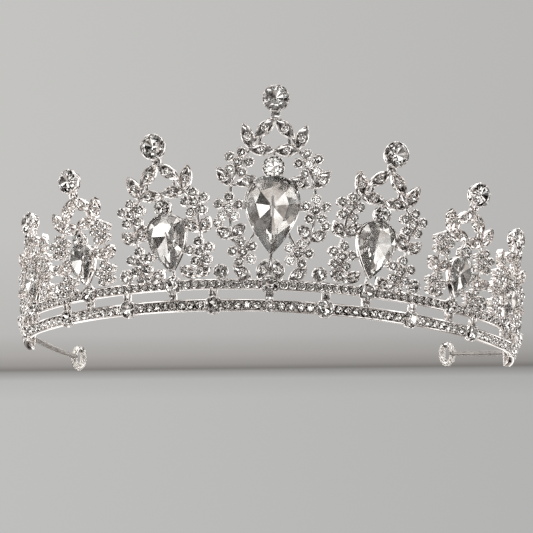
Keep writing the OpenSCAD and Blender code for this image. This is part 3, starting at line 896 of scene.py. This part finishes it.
# the wall falls into shade where it meets the table: place on the ramp and colour
WALL_SHADE_TONES = [(0.19, "#B8B8B6"), (0.235, "#9A9896"), (0.25, "#827F7C"), (0.275, "#9A9794"),
              (0.33, "#ABA8A5"), (0.45, "#BAB9B7")]


def patchy_room(tree, ray):
    """What the metal and the stones mirror: pale surroundings with darker patches, dim in front of the
    tiara, so that flat faces go dark and only rims and edges stay bright."""
    shifted = add_node(tree, "ShaderNodeVectorMath", {"operation": "ADD", 1: (5.0, 9.0, 2.0)}, {0: ray})
    patches = add_node(tree, "ShaderNodeTexNoise", {"Scale": 5.5, "Detail": 1.5, "Roughness": 0.5},
                       {"Vector": shifted.outputs["Vector"]})
    ramp = add_node(tree, "ShaderNodeValToRGB", links={"Fac": patches.outputs["Fac"]})
    low, high = ramp.color_ramp.elements
    low.position, low.color = 0.43, srgb("#100E0D")
    high.position, high.color = 0.63, srgb("#FFFDFB")
    ramp.color_ramp.elements.new(0.52).color = srgb("#8E8782")
    front = add_node(tree, "ShaderNodeVectorMath",
                     {"operation": "DOT_PRODUCT", 1: (0.01, -0.94, -0.34)}, {0: ray})
    level = add_node(tree, "ShaderNodeMapRange",
                     {"From Min": 0.985, "From Max": 0.62, "To Min": 0.22, "To Max": 2.5},
                     {"Value": front.outputs["Value"]})
    lit = add_node(tree, "ShaderNodeVectorMath", {"operation": "SCALE"},
                   {0: ramp.outputs["Color"], "Scale": level.outputs["Result"]})
    return lit.outputs["Vector"]


def seen_backdrop(tree, ray):
    """What is seen directly: a pale wall over a pale table top, with painted shade that makes it a little
    darker to the right.
    A painted band of shade darkens the wall along the line between them; it shows only in a cone ahead, other
    views see the plain wall."""
    rise = add_node(tree, "ShaderNodeVectorMath",
                    {"operation": "DOT_PRODUCT", 1: (-0.045, -0.2154, 0.9755)}, {0: ray})
    step = add_node(tree, "ShaderNodeMapRange", {"From Min": -0.05, "From Max": 0.15},
                    {"Value": rise.outputs["Value"]})
    ahead = add_node(tree, "ShaderNodeVectorMath",
                     {"operation": "DOT_PRODUCT", 1: (-0.01, 0.94, 0.34)}, {0: ray})
    plain = add_node(tree, "ShaderNodeMapRange",
                     {"From Min": 0.8, "From Max": 0.9, "To Min": 1.0, "To Max": 0.0},
                     {"Value": ahead.outputs["Value"]})
    place_on = add_node(tree, "ShaderNodeMath", {"operation": "MAXIMUM"},
                        {0: step.outputs["Result"], 1: plain.outputs["Result"]})
    wall = add_node(tree, "ShaderNodeValToRGB", links={"Fac": place_on.outputs["Value"]})
    first, last = wall.color_ramp.elements
    first.position, first.color = 0.08, srgb("#BFBFBE")
    last.position, last.color = 1.0, srgb("#C4C3C1")
    for position, colour in WALL_SHADE_TONES:
        wall.color_ramp.elements.new(position).color = srgb(colour)
    # painted shade: the backdrop is scaled darker towards the right, as the room light falls from the left
    across = add_node(tree, "ShaderNodeVectorMath",
                      {"operation": "DOT_PRODUCT", 1: (1.0, 0.0, 0.0)}, {0: ray})
    shade = add_node(tree, "ShaderNodeMapRange",
                     {"From Min": -0.3, "From Max": 0.3, "To Min": 1.0, "To Max": 0.87},
                     {"Value": across.outputs["Value"]})
    backdrop = add_node(tree, "ShaderNodeVectorMath", {"operation": "SCALE"},
                        {0: wall.outputs["Color"], "Scale": shade.outputs["Result"]})
    return backdrop.outputs["Vector"]


def room_world():
    """The mirrored room for every ray but the camera's own, which see the backdrop."""
    world = bpy.data.worlds.new("studio")
    bpy.context.scene.world = world
    world.use_nodes = True
    tree = world.node_tree
    tree.nodes.clear()
    ray = add_node(tree, "ShaderNodeTexCoord").outputs["Generated"]
    seen = add_node(tree, "ShaderNodeLightPath").outputs["Is Camera Ray"]
    mix = add_node(tree, "ShaderNodeMix", {"data_type": "RGBA"})
    tree.links.new(seen, mix.inputs[0])
    tree.links.new(patchy_room(tree, ray), mix.inputs[6])
    tree.links.new(seen_backdrop(tree, ray), mix.inputs[7])
    back = add_node(tree, "ShaderNodeBackground", {"Strength": 1.0}, {"Color": mix.outputs[2]})
    out = tree.nodes.new("ShaderNodeOutputWorld")
    tree.links.new(back.outputs["Background"], out.inputs["Surface"])


room_world()
bpy.context.scene.view_settings.view_transform = "Standard"


def aim_camera():
    """The camera stands low in front of the tiara and looks up at it."""
    cam = bpy.data.cameras.new("camera")
    cam.sensor_width, cam.lens = 36.0, 57.2
    cam.clip_start = 0.01
    obj = bpy.data.objects.new("camera", cam)
    right = Vector((0.9994, -0.0003, 0.0355))
    ahead = Vector((-0.0114, 0.944, 0.3296))
    up = Vector((-0.0336, -0.3298, 0.9434))
    turn = Matrix((right, up, -ahead)).transposed().to_4x4()
    spot = Vector((1.36, -191.9, -57.2)) * MM + ROW_SHIFT * MM
    obj.matrix_world = Matrix.Translation(spot) @ turn
    bpy.context.scene.collection.objects.link(obj)
    bpy.context.scene.camera = obj


aim_camera()
